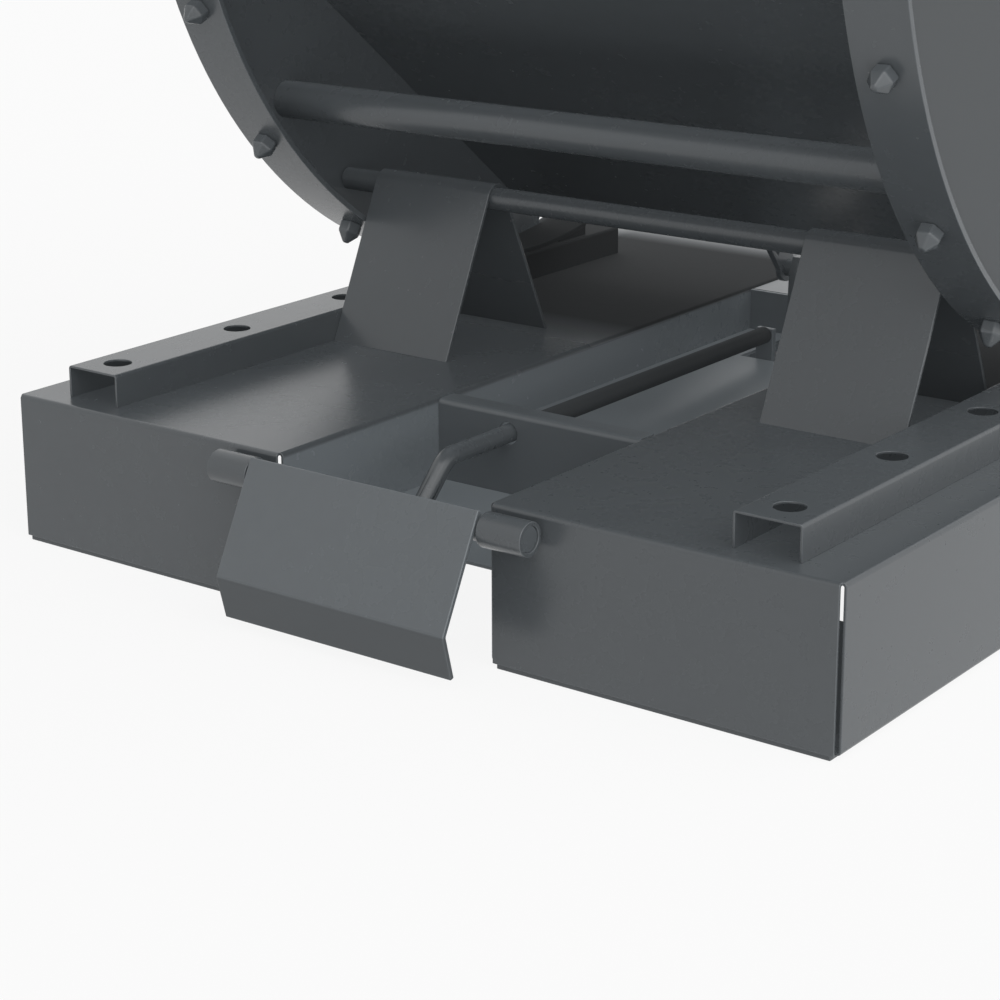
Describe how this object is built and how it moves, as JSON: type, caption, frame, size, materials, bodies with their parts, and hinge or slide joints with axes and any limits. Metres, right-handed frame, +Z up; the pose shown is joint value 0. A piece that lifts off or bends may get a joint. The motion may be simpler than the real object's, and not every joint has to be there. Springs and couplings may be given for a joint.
{
  "type": "tipping container",
  "caption": "Forklift tipping skip: open steel hopper on round rockers that roll forward on the rails of a fork-pocket base, with a push-plate release at the front.",
  "frame": {"origin": "on the floor, under the middle of the whole container's plan outline", "axes": "+Z up; -Y is the front, where the push plate and the pouring lip are, and the fork pockets open to +Y; +X to the right for someone who faces the front"},
  "size_m": [1, 1.3358, 1.0691],
  "materials": {
    "base_paint": "satin",
    "hopper_paint": "satin",
    "release_paint": "satin",
    "bare_steel": "satin"
  },
  "bodies": {
    "base": {"left_pocket_cover": "base_paint", "right_pocket_cover": "base_paint", "left_front_strap": "base_paint", "right_front_strap": "base_paint", "left_rear_strap": "base_paint", "right_rear_strap": "base_paint", "left_rail": "base_paint", "right_rail": "base_paint", "left_chock": "base_paint", "right_chock": "base_paint", "front_cross_plate": "base_paint", "front_floor_plate": "base_paint", "channel_floor_plate": "base_paint", "rear_cross_plate": "base_paint", "rear_deck_plate": "base_paint", "left_keeper_frame": "base_paint", "right_keeper_frame": "base_paint", "keeper_rod": "base_paint", "left_pedal_bush": "base_paint", "right_pedal_bush": "base_paint", "rod_guide": "base_paint", "hook_bracket": "base_paint", "hook_pin": "bare_steel", "hook_spacers": "bare_steel", "return_spring": "bare_steel"},
    "pedal": {"pedal_shaft": "release_paint", "pedal_plate": "release_paint", "pedal_lugs": "release_paint", "pedal_pin": "bare_steel"},
    "release": {"release_rod": "release_paint", "drop_plate": "release_paint", "push_rod": "bare_steel", "spring_collar": "bare_steel", "push_fork": "bare_steel"},
    "hook": {"latch_hook": "release_paint", "hook_arm_pin": "bare_steel"},
    "carriage": {"left_crane_pin": "hopper_paint", "right_crane_pin": "hopper_paint"},
    "hopper": {"left_side_plate": "hopper_paint", "right_side_plate": "hopper_paint", "left_rocker_band": "hopper_paint", "right_rocker_band": "hopper_paint", "left_rocker_studs": "hopper_paint", "right_rocker_studs": "hopper_paint", "slope_sheet": "hopper_paint", "back_sheet": "hopper_paint", "front_lip_tube": "hopper_paint", "left_rim": "hopper_paint", "right_rim": "hopper_paint", "rear_rim": "hopper_paint", "cross_tube": "hopper_paint", "catch_bar": "hopper_paint", "catch_lugs": "hopper_paint"}
  },
  "joints": [
    {"name": "pedal_swing", "type": "hinge", "parent": "base", "child": "pedal", "pos_m": [0, -0.44206, 0.1445], "axis": [1, 0, 0], "range_deg": [0, 24]},
    {"name": "release_slide", "type": "slide", "parent": "base", "child": "release", "axis": [0, 1, 0], "range_m": [0, 0.022], "stiffness_N_per_m": 2000, "springref_m": -0.02, "deforming": ["return_spring"]},
    {"name": "hook_swing", "type": "hinge", "parent": "base", "child": "hook", "pos_m": [-0.036, 0.41394, 0.087], "axis": [1, 0, 0], "range_deg": [0, 19.4]},
    {"name": "roll_travel", "type": "slide", "parent": "base", "child": "carriage", "axis": [0, -1, 0], "range_m": [0, 0.63]},
    {"name": "hopper_roll", "type": "hinge", "parent": "carriage", "child": "hopper", "pos_m": [0, 0.33294, 0.797], "axis": [1, 0, 0], "range_deg": [0, 60]}
  ],
  "couplings": [
    {"joint": "release_slide", "follows": "pedal_swing", "m_per_rad": 0.0517},
    {"joint": "hook_swing", "follows": "pedal_swing", "ratio": 0.805},
    {"joint": "roll_travel", "follows": "hopper_roll", "m_per_rad": 0.6}
  ]
}
